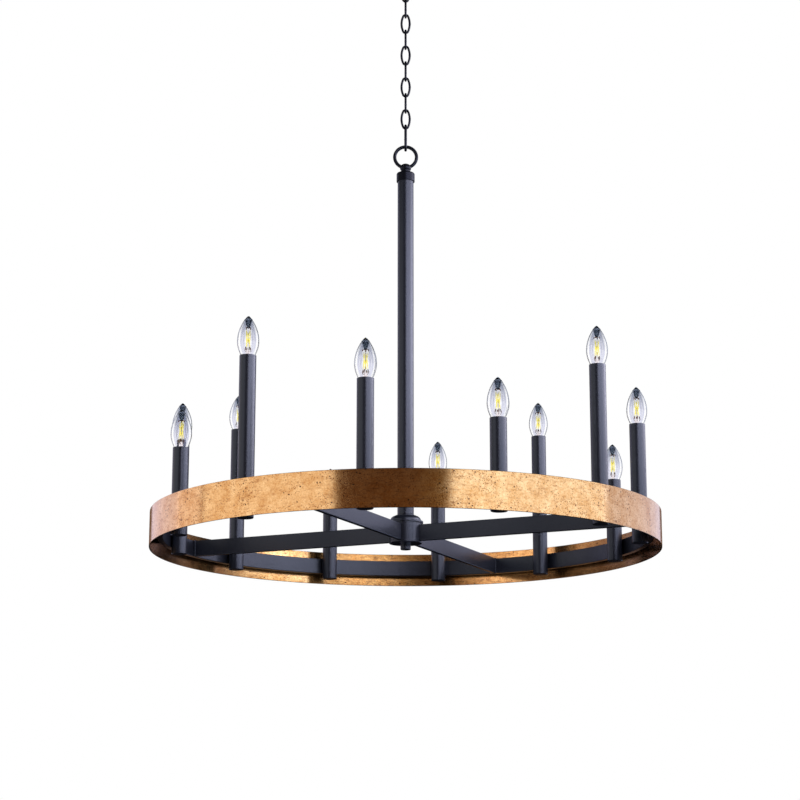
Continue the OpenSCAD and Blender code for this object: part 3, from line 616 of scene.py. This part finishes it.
def make_surface(name, grids, material, body, replaced=(), sharp_angle=40):
    """One piece from one or more grids of points, each with rows along one way and columns round the
    other. Columns always close on themselves. Rows close too where the grid's last entry says so.
    Rows of one repeated point become poles when doubles are merged."""
    points, faces, start = [], [], 0
    for grid, closed in grids:
        rows, columns, _ = grid.shape
        index = np.arange(rows * columns).reshape(rows, columns) + start
        lower = index if closed else index[:-1]
        upper = np.roll(index, -1, axis=0) if closed else index[1:]
        quads = [lower, np.roll(lower, -1, axis=1), np.roll(upper, -1, axis=1), upper]
        faces.append(np.stack(quads, axis=-1).reshape(-1, 4))
        points.append(grid.reshape(-1, 3))
        start += rows * columns
    mesh = bpy.data.meshes.new(name)
    mesh.from_pydata(np.concatenate(points).tolist(), [], np.concatenate(faces).tolist())
    shell = bmesh.new()
    shell.from_mesh(mesh)
    bmesh.ops.remove_doubles(shell, verts=shell.verts, dist=0.002 * MM)
    bmesh.ops.dissolve_degenerate(shell, edges=shell.edges, dist=0.001 * MM)
    bmesh.ops.recalc_face_normals(shell, faces=shell.faces)
    shell.to_mesh(mesh)
    shell.free()
    mesh.polygons.foreach_set("use_smooth", np.ones(len(mesh.polygons), dtype=bool))
    mesh.set_sharp_from_angle(angle=math.radians(sharp_angle))
    mesh.materials.append(bpy.data.materials[material])
    piece = bpy.data.objects.new(name, mesh)
    bpy.context.scene.collection.objects.link(piece)
    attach(piece, body)
    if replaced:
        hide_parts(*replaced)
    return piece


def turned(radii, heights, at, columns=48, ripple=None):
    """A turned form: each row is a circle of its radius at its height round a vertical axis through a
    point. A ripple adds a length to the radius by a formula of the height and the angle."""
    turns = np.linspace(0, 2 * np.pi, columns, endpoint=False)
    radius = np.repeat(np.asarray(radii, float)[:, None], columns, axis=1)
    height = np.repeat(np.asarray(heights, float)[:, None], columns, axis=1)
    if ripple is not None:
        radius = np.maximum(radius + ripple(height, turns[None, :]) * (radius > 0), 0)
    x = at[0] + radius * np.cos(turns)
    y = at[1] + radius * np.sin(turns)
    return np.stack([x, y, at[2] + height], axis=-1)


def swept(path, across, beside, radii, columns=12):
    """A round wire along a path: each row is a circle of its radius, spanned by the path's across and
    beside directions at that point."""
    turns = np.linspace(0, 2 * np.pi, columns, endpoint=False)[None, :, None]
    radius = np.asarray(radii, float).reshape(-1, 1, 1)
    ring = np.cos(turns) * across[:, None, :] + np.sin(turns) * beside[:, None, :]
    return path[:, None, :] + radius * ring


def straight_wire(start, end, radii, columns=10):
    """A round rod from one point to another, with a radius for each of its rows and closed ends."""
    start, end = np.asarray(start, float), np.asarray(end, float)
    along = (end - start) / np.linalg.norm(end - start)
    helper = np.array([1.0, 0.0, 0.0]) if abs(along[0]) < 0.9 else UP
    across = np.cross(along, helper)
    across /= np.linalg.norm(across)
    beside = np.cross(along, across)
    steps = np.linspace(0, 1, len(radii))[:, None]
    path = start + steps * (end - start)
    rows = len(radii)
    return swept(path, np.tile(across, (rows, 1)), np.tile(beside, (rows, 1)), radii, columns)


def curved_wire(path, radius, columns=10):
    """A round wire along an open path of points, with closed ends. The circles stand square to the
    path, and their across direction is kept level."""
    along = np.gradient(path, axis=0)
    along /= np.linalg.norm(along, axis=1, keepdims=True)
    across = np.cross(along, UP + 0.01 * SCREEN_RIGHT)
    across /= np.linalg.norm(across, axis=1, keepdims=True)
    beside = np.cross(along, across)
    radii = np.full(len(path), radius)
    radii[[0, -1]] = 0
    return swept(path, across, beside, radii, columns)


# Bulbs

GLASS_FOOT = -15 * MM
BELLY_HEIGHT = 23 * MM
BELLY_POWER = 1.5
TIP_POWER = 0.72
NECK_RADIUS = 6.4 * MM
GLASS_WALL = 0.9 * MM
GLASS_ROWS = 44
# Painted dark shade on the outside of the tip: its share, and the heights where it begins and is full
TIP_SHADE_SHARE = 0.5
TIP_SHADE_FROM = 56 * MM
TIP_SHADE_FULL = 63 * MM
TIP_CROWDING = 1.6
CAP_RADIUS = 5.95 * MM
CAP_TOP = -14.2 * MM
CAP_FOOT = -33.5 * MM
CAP_ROWS = 56
CAP_THREAD_PITCH = 2.54 * MM
CAP_THREAD_DEPTH = 0.5 * MM
CONTACT_FOOT = -37.6 * MM
CONTACT_RADIUS = 1.8 * MM

# The mount's outline, from the middle of its foot out and up to the round top of its post
MOUNT_RADII = np.array([0, 5.3, 5.2, 4.9, 4.3, 3.6, 2.9, 2.3, 1.8, 1.0, 0]) * MM
MOUNT_HEIGHTS = np.array([-13.8, -13.8, -10, -5, 0, 3.5, 6.5, 8.6, 9.6, 10.1, 10.2]) * MM

FILAMENT_COUNT = 4
FILAMENT_RADIUS = 0.85 * MM
FILAMENT_FOOT = 12.5 * MM
FILAMENT_TOP = 42.5 * MM
FILAMENT_SPREAD = 4.3 * MM
FILAMENT_TWIST = 105
BULB_TURN_STEP = 37
TAB_LENGTH = 3 * MM
FOOT_TAB_LENGTH = 5.5 * MM
TAB_RADIUS = 0.9 * MM
TAB_OVERLAP = 0.8
LEAD_RADIUS = 0.45 * MM
LEAD_SINK = 5 * MM
LEAD_INWARD = 0.45
LEAD_RISE = 2 * MM
MIDDLE_WIRE_FOOT = 9.4 * MM


def bulb_place(k):
    """Middle of the top of candle tube k, which every height of its bulb counts from."""
    low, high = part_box(f"candle_tube_{k}")
    return np.array([(low.x + high.x) / 2, (low.y + high.y) / 2, high.z])


BULB_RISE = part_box("bulb_1")[1].z - bulb_place(1)[2]
BELLY_RADIUS = span_of("bulb_1")[0] / 2

# The solid drop's outline, from the inside of the shell under the tip, inwards and down to its point
DROP_HEIGHTS = np.array([59, 59.3, 58.6, 56.5, 53, 49, 46, 44.4, 43.8]) * MM
DROP_RADII = np.array([6.4, 6.2, 5.9, 5.3, 4.5, 3.5, 2.5, 1.4, 0]) * MM
DROP_FROM = DROP_HEIGHTS[-1] - 0.1 * MM
DROP_REACH = 0.75
MIDDLE_WIRE_TOP = DROP_HEIGHTS[-1] + 0.3 * MM


def glass_radius(height):
    """Outside radius of the glass: from the neck out to the belly by a quarter wave of a sine to one
    power, and from the belly in to the tip by a quarter wave of a cosine to another."""
    below = np.clip((height - GLASS_FOOT) / (BELLY_HEIGHT - GLASS_FOOT), 0, 1)
    above = np.clip((height - BELLY_HEIGHT) / (BULB_RISE - BELLY_HEIGHT), 0, 1)
    swelling = NECK_RADIUS + (BELLY_RADIUS - NECK_RADIUS) * np.sin(np.pi / 2 * below) ** BELLY_POWER
    closing = BELLY_RADIUS * np.maximum(np.cos(np.pi / 2 * above), 0) ** TIP_POWER
    return np.where(height < BELLY_HEIGHT, swelling, closing)


def make_bulb_glass(k):
    """The blown shell: an outside turned from glass_radius, and an inside that is the same form drawn
    in by the wall. Under the tip the inside turns down again round a solid drop of glass, which tapers
    to a point above the filaments. Both share the ring at the foot."""
    steps = np.sin(np.linspace(0, np.pi / 2, GLASS_ROWS))
    heights = GLASS_FOOT + steps * (BULB_RISE - GLASS_FOOT)
    radii = glass_radius(heights)
    radii[-1] = 0
    wall_share = 1 - GLASS_WALL / BELLY_RADIUS
    inner_heights = GLASS_FOOT + steps * (DROP_HEIGHTS[0] - GLASS_FOOT)
    inner_radii = wall_share * glass_radius(inner_heights)
    at = bulb_place(k)
    outside = turned([inner_radii[0], *radii], [GLASS_FOOT, *heights], at)
    inside = turned([*inner_radii, *DROP_RADII], [*inner_heights, *DROP_HEIGHTS], at)
    shell = make_surface(f"bulb_{k}_glass", [(outside, False), (inside, False)], "clear_soda_glass",
                         f"lamp_{k}", replaced=[f"bulb_{k}"], sharp_angle=70)
    mark_painted_glass_shade(shell, at)
    keep_dark(STEEL_LIGHT, shell)


def mark_painted_glass_shade(shell, at):
    """Gives each vertex how near the tip it is, crowded towards the tip by a power, and how much
    painted dark shade it has: all of it on the solid drop, whose points lie well inside the
    outside radius at their height, and up to half on the outside of the tip."""
    points = np.empty(3 * len(shell.data.vertices))
    shell.data.vertices.foreach_get("co", points)
    x, y, height = (points.reshape(-1, 3) - at).T
    reach = np.hypot(x, y) / np.maximum(glass_radius(height), 0.1 * MM)
    on_drop = (reach < DROP_REACH) & (height > DROP_FROM)
    outer_tip_shade = TIP_SHADE_SHARE * np.clip((height - TIP_SHADE_FROM) / (TIP_SHADE_FULL - TIP_SHADE_FROM), 0, 1)
    drawn_solid = shell.data.attributes.new("drawn_solid", "FLOAT", "POINT")
    drawn_solid.data.foreach_set("value", np.where(on_drop, 1.0, outer_tip_shade))
    towards_tip = shell.data.attributes.new("towards_tip", "FLOAT", "POINT")
    towards_tip.data.foreach_set("value", np.clip(height / BULB_RISE, 0, 1) ** TIP_CROWDING)


def cap_thread(height, turn):
    """The rolled thread of a cap: the radius dips by half a cosine wave that climbs one pitch a turn
    and fades out at both ends of the cap."""
    fade = np.clip((height - CAP_FOOT) / CAP_THREAD_PITCH - 0.6, 0, 1)
    fade = fade * np.clip((CAP_TOP - height) / CAP_THREAD_PITCH - 1.2, 0, 1)
    wave = 0.5 - 0.5 * np.cos(2 * np.pi * height / CAP_THREAD_PITCH - turn)
    return -CAP_THREAD_DEPTH * fade * wave


def make_bulb_cap(k):
    """The screw cap, its black glass foot and its tinned contact, each turned and closed at its
    poles."""
    at = bulb_place(k)
    heights = np.linspace(CAP_TOP - 0.6 * MM, CAP_FOOT, CAP_ROWS)
    side = np.full(CAP_ROWS, CAP_RADIUS)
    radii = [0, 0.86 * CAP_RADIUS, 0.98 * CAP_RADIUS, *side, 0.6 * CAP_RADIUS, 0]
    levels = [CAP_TOP, CAP_TOP, CAP_TOP - 0.2 * MM, *heights, CAP_FOOT - 1.2 * MM, CAP_FOOT - 1.2 * MM]
    shell = turned(radii, levels, at, columns=36, ripple=cap_thread)
    make_surface(f"bulb_{k}_cap", [(shell, False)], "nickel_plated_brass", f"lamp_{k}")
    foot_radii = np.array([0, 3.55, 3.5, 3.1, 2.4, 1.9, 0]) * MM
    foot_heights = CAP_FOOT - np.array([1.1, 1.1, 1.5, 2.2, 2.7, 2.9, 2.9]) * MM
    foot = turned(foot_radii, foot_heights, at, columns=28)
    make_surface(f"bulb_{k}_cap_foot", [(foot, False)], "black_cap_glass", f"lamp_{k}")
    dome = np.linspace(0, np.pi / 2, 6)
    drop = CAP_FOOT - 2.8 * MM
    dome_radii = np.array([0, *(CONTACT_RADIUS * np.cos(dome))])
    dome_heights = np.array([drop, *(drop + (CONTACT_FOOT - drop) * np.sin(dome))])
    dome_radii[-1] = 0
    contact = turned(dome_radii, dome_heights, at, columns=24)
    make_surface(f"bulb_{k}_contact", [(contact, False)], "zinc_plated_steel", f"lamp_{k}")


def make_bulb_mount(k):
    """The glass mount: a flared foot that narrows to a rounded post."""
    mount = turned(MOUNT_RADII, MOUNT_HEIGHTS, bulb_place(k), columns=32)
    make_surface(f"bulb_{k}_mount", [(mount, False)], "white_stem_glass", f"lamp_{k}")


def filament_ends(k, i):
    """Foot and top of filament i. All lean the same way round the bulb's axis, so that those behind
    cross those in front, and every bulb is screwed in to another turn."""
    middle = 360 * (i + 0.5) / FILAMENT_COUNT + BULB_TURN_STEP * k
    half_twist = FILAMENT_TWIST / 2
    ends = []
    for turn, height in ((middle - half_twist, FILAMENT_FOOT), (middle + half_twist, FILAMENT_TOP)):
        ends.append(bulb_place(k) + FILAMENT_SPREAD * level_direction(turn) + height * UP)
    return ends


def make_filaments(k):
    """Four phosphor rods with rounded ends, and the browned tabs, leads and middle wire that hold
    them. An upper lead bends to the middle wire along a parabola, the sum of its three points in
    shares that run from the first to the last, and a lower one runs straight into the mount."""
    rounded = FILAMENT_RADIUS * np.array([0, 0.6, 0.9, 1, 1, 0.9, 0.6, 0])
    blunt = np.array([0, 1, 1, 0])
    share = np.linspace(0, 1, 9)[:, None]
    post = bulb_place(k) + MIDDLE_WIRE_FOOT * UP
    hub = bulb_place(k) + MIDDLE_WIRE_TOP * UP
    rods = []
    metal = [straight_wire(post, hub, LEAD_RADIUS * blunt)]
    for i in range(FILAMENT_COUNT):
        foot, top = filament_ends(k, i)
        along = (top - foot) / np.linalg.norm(top - foot)
        rods.append(straight_wire(foot, top, rounded))
        foot_tab = (foot - FOOT_TAB_LENGTH * along, foot + TAB_LENGTH * along)
        top_tab = (top, top + TAB_LENGTH * along)
        from_foot = foot - TAB_OVERLAP * FOOT_TAB_LENGTH * along
        into_mount = post + LEAD_INWARD * (foot - post) * (1, 1, 0) - LEAD_SINK * UP
        from_top = top + TAB_OVERLAP * TAB_LENGTH * along
        above_top = from_top + LEAD_RISE * UP
        upper_lead = (1 - share) ** 2 * from_top + 2 * share * (1 - share) * above_top + share ** 2 * hub
        metal += [
            straight_wire(*foot_tab, TAB_RADIUS * blunt),
            straight_wire(*top_tab, TAB_RADIUS * blunt),
            straight_wire(from_foot, into_mount, LEAD_RADIUS * blunt),
            curved_wire(upper_lead, LEAD_RADIUS, columns=8),
        ]
    for name, wires, material in (
            ("filaments", rods, "yellow_phosphor"), ("leads", metal, "oxidised_lead_wire")):
        make_surface(f"bulb_{k}_{name}", [(wire, False) for wire in wires], material, f"lamp_{k}",
                     sharp_angle=60)


# Chain

CHAIN_TURN = 24
CHAIN_ACROSS = level_direction(CHAIN_TURN)
CHAIN_ALONG = square_to(CHAIN_ACROSS)
LINK = {"length": 38.6 * MM, "width": 18.6 * MM, "wire": 4 * MM, "end_radius": 4.8 * MM}
CONNECTOR = {"length": 49.9 * MM, "width": 21 * MM, "wire": 4.8 * MM, "end_radius": 7 * MM}
WIRE_SHAVING = 0.02 * MM
WELD_HALF_LENGTH = 1.1 * MM
WELD_SWELL = 0.1


def oval_path(length, width, wire, end_radius):
    """Centre line of a link as points and outward normals in its plane: two round ends joined by two
    shallow side arcs that meet them smoothly. Also gives each point's distance from the right side's
    middle, where the weld is."""
    half_length, half_width = (length - wire) / 2, (width - wire) / 2
    end_centre = half_length - end_radius
    side_radius = half_width ** 2 + end_centre ** 2 - end_radius ** 2
    side_radius /= 2 * (half_width - end_radius)
    side_half = math.atan2(end_centre, side_radius - half_width)
    right = np.linspace(-side_half, side_half, 41)[:-1]
    top = np.linspace(side_half, np.pi - side_half, 25)[:-1]
    arcs = [
        (half_width - side_radius, 0.0, side_radius, right),
        (0.0, end_centre, end_radius, top),
        (side_radius - half_width, 0.0, side_radius, right + np.pi),
        (0.0, -end_centre, end_radius, top + np.pi),
    ]
    normals = np.concatenate([np.stack([np.cos(a), np.sin(a)], axis=1) for _, _, _, a in arcs])
    centres = np.concatenate([np.tile((x, y), (len(a), 1)) for x, y, _, a in arcs])
    radii = np.concatenate([np.full(len(a), r) for _, _, r, a in arcs])[:, None]
    points = centres + radii * normals
    from_weld = np.linalg.norm(points - (half_width, 0.0), axis=1)
    return points, normals, from_weld


def make_link(node, body, sideways, length, width, wire, end_radius):
    """One bent wire along its oval, closed by a butt weld that swells like a bell curve. The wire is
    shaved a little, so that its facets stay inside the CAD link."""
    points, normals, from_weld = oval_path(length, width, wire, end_radius)
    facing = np.cross(sideways, UP)
    centre = middle_of(node)
    path = centre + points[:, :1] * sideways + points[:, 1:] * UP
    across = normals[:, :1] * sideways + normals[:, 1:] * UP
    beside = np.tile(facing, (len(points), 1))
    weld = WELD_SWELL * np.exp(-(from_weld / WELD_HALF_LENGTH) ** 2)
    radii = (wire / 2 - WIRE_SHAVING) * (1 + weld)
    grid = swept(path, across, beside, radii, columns=16)
    make_surface(f"{node}_wire", [(grid, True)], "black_electrocoat", body,
                 replaced=[node], sharp_angle=80)


def make_chain():
    """Every other link faces the camera, and the ones between stand edge-on."""
    for i in range(1, LINK_COUNT + 1):
        sideways = CHAIN_ACROSS if i % 2 else CHAIN_ALONG
        make_link(f"chain_link_{i}", f"link_{i}", sideways, **LINK)
    make_link("connector_link", "connector", CHAIN_ALONG, **CONNECTOR)


# Ceiling fitting and welds

NIPPLE_PITCH = 1.0 * MM
NIPPLE_THREAD_DEPTH = 0.55 * MM
NIPPLE_ROWS_A_TURN = 8
NIPPLE_BORE = 7.0 * MM
NUT_COLUMNS = 96
NUT_FLAT_RADIUS = 8.0 * MM
NUT_BORE_RADIUS = 5.1 * MM
NUT_CONE_RADII = np.array([7.7, 8.2, 8.7, 9.3]) * MM
NUT_CONE_RISES = np.array([0, 0.3, 0.6, 0.95]) * MM
WELD_BEAD_RADIUS = 1.0 * MM
WELD_RIPPLE = 1.7 * MM
WELD_RIPPLE_SHARE = 0.12
SPOKE_SECTION = (8 * MM, 28 * MM)
SPOKE_CORNER = 1.2 * MM
FLANGE_THICKNESS = 2 * MM


def make_nipple():
    """A threaded pipe: the outside dips by half a cosine wave that climbs one pitch a turn, and the
    bore is plain."""
    low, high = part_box("nipple")
    length = high.z - low.z
    radius = span_of("nipple")[0] / 2
    heights = np.linspace(0, length, int(NIPPLE_ROWS_A_TURN * length / NIPPLE_PITCH))

    def thread(height, turn):
        wave = 0.5 - 0.5 * np.cos(2 * np.pi * height / NIPPLE_PITCH - turn)
        fade = np.clip(np.minimum(height, length - height) / NIPPLE_PITCH, 0, 1)
        return -NIPPLE_THREAD_DEPTH * wave * fade

    at = np.array([middle_of("nipple")[0], middle_of("nipple")[1], low.z])
    outside = turned(np.full(len(heights), radius), heights, at, columns=36, ripple=thread)
    bore = turned(np.full(2, NIPPLE_BORE / 2), [length, 0], at, columns=36)
    make_surface("nipple_thread", [(np.concatenate([outside, bore]), True)], "zinc_plated_steel",
                 "ceiling_fitting", replaced=["nipple"], sharp_angle=50)


def make_nipple_nut():
    """A hexagon nut: its radius follows the six flats, held back by a cone at both ends."""
    low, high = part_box("nipple_nut")
    height = high.z - low.z
    turns = np.linspace(0, 2 * np.pi, NUT_COLUMNS, endpoint=False)
    flats = NUT_FLAT_RADIUS / np.cos(np.mod(turns, np.pi / 3) - np.pi / 6)
    cones = np.concatenate([NUT_CONE_RADII, NUT_CONE_RADII[::-1]])[:, None]
    bore = np.full((1, NUT_COLUMNS), NUT_BORE_RADIUS)
    radii = np.concatenate([bore, np.minimum(flats, cones), bore])
    levels = np.concatenate([[0], NUT_CONE_RISES, height - NUT_CONE_RISES[::-1], [height]])
    levels = levels[:, None] * np.ones((1, NUT_COLUMNS))
    x, y, _ = middle_of("nipple_nut")
    grid = np.stack([x + radii * np.cos(turns), y + radii * np.sin(turns), low.z + levels], axis=-1)
    make_surface("nipple_nut_hexagon", [(grid, True)], "zinc_plated_steel", "ceiling_fitting",
                 replaced=["nipple_nut"], sharp_angle=18)


def rounded_loop(width, height, corner, count):
    """Evenly spaced points round a rectangle with round corners, their outward normals, and how far
    along the loop each lies."""
    fine = np.linspace(0, 2 * np.pi, 721)
    normals = np.stack([np.cos(fine), np.sin(fine)], axis=1)
    cores = np.sign(np.round(normals, 9)) * (width / 2 - corner, height / 2 - corner)
    points = cores + corner * normals
    run = np.concatenate([[0], np.cumsum(np.linalg.norm(np.diff(points, axis=0), axis=1))])
    even = np.linspace(0, run[-1], count, endpoint=False)
    spaced = np.stack([np.interp(even, run, values) for values in points.T], axis=1)
    facing = np.stack([np.interp(even, run, values) for values in normals.T], axis=1)
    return spaced, facing / np.linalg.norm(facing, axis=1, keepdims=True), even


def make_spoke_welds():
    """A fillet weld round each spoke where it meets its flange, with the ripples of the torch."""
    width, height = SPOKE_SECTION
    spaced, facing, even = rounded_loop(width, height, SPOKE_CORNER, 240)
    radii = WELD_BEAD_RADIUS * (1 + WELD_RIPPLE_SHARE * np.cos(2 * np.pi * even / WELD_RIPPLE))
    spoke_middle_z = middle_of("spoke_1")[2]
    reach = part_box("spoke_1")[1].x - FLANGE_THICKNESS
    grids = []
    for i in range(SPOKE_COUNT):
        outward = level_direction(360 * i / SPOKE_COUNT)
        side = square_to(outward)
        centre = reach * outward + spoke_middle_z * UP
        path = centre + spaced[:, :1] * side + spaced[:, 1:] * UP
        across = facing[:, :1] * side + facing[:, 1:] * UP
        beside = np.tile(outward, (len(spaced), 1))
        grids.append((swept(path, across, beside, radii, columns=10), True))
    make_surface("spoke_welds", grids, "satin_black_powder_coat", "chandelier",
                 sharp_angle=80)


FINISHES = {
    "black_metal": "satin_black_powder_coat",
    "gold_metal": "rubbed_gold_leaf",
    "plated_steel": "zinc_plated_steel",
    "ground_green": "green_dyed_zinc",
    "moulded_holder": "moulded_phenolic",
    "bulb_glass": "clear_soda_glass",
}


def dress_frame():
    """Gives every CAD node the finish of its slot in the record, and the castings at both ends of the
    chain the chain's own."""
    for row in frame["record"]["subparts"]:
        slots = NODES[row["node"]].data.materials
        slots.clear()
        slots.append(bpy.data.materials[FINISHES[row["material_slot"]]])
    for casting in ("suspension_ring", "hanger_eye", "stem_cap", "canopy_loop"):
        NODES[casting].data.materials[0] = bpy.data.materials["black_electrocoat"]


make_camera()
make_lights()
make_world()
for finish in (
    satin_black_powder_coat, black_electrocoat, rubbed_gold_leaf, zinc_plated_steel, green_dyed_zinc,
    moulded_phenolic, clear_soda_glass, nickel_plated_brass, black_cap_glass, white_stem_glass,
    yellow_phosphor, oxidised_lead_wire,
):
    finish()
make_floor()
dress_frame()
for bulb in range(1, BULB_COUNT + 1):
    make_bulb_glass(bulb)
    make_bulb_cap(bulb)
    make_bulb_mount(bulb)
    make_filaments(bulb)
make_chain()
make_nipple()
make_nipple_nut()
make_spoke_welds()

# A display view that leaves whites white
bpy.context.scene.view_settings.view_transform = "Standard"
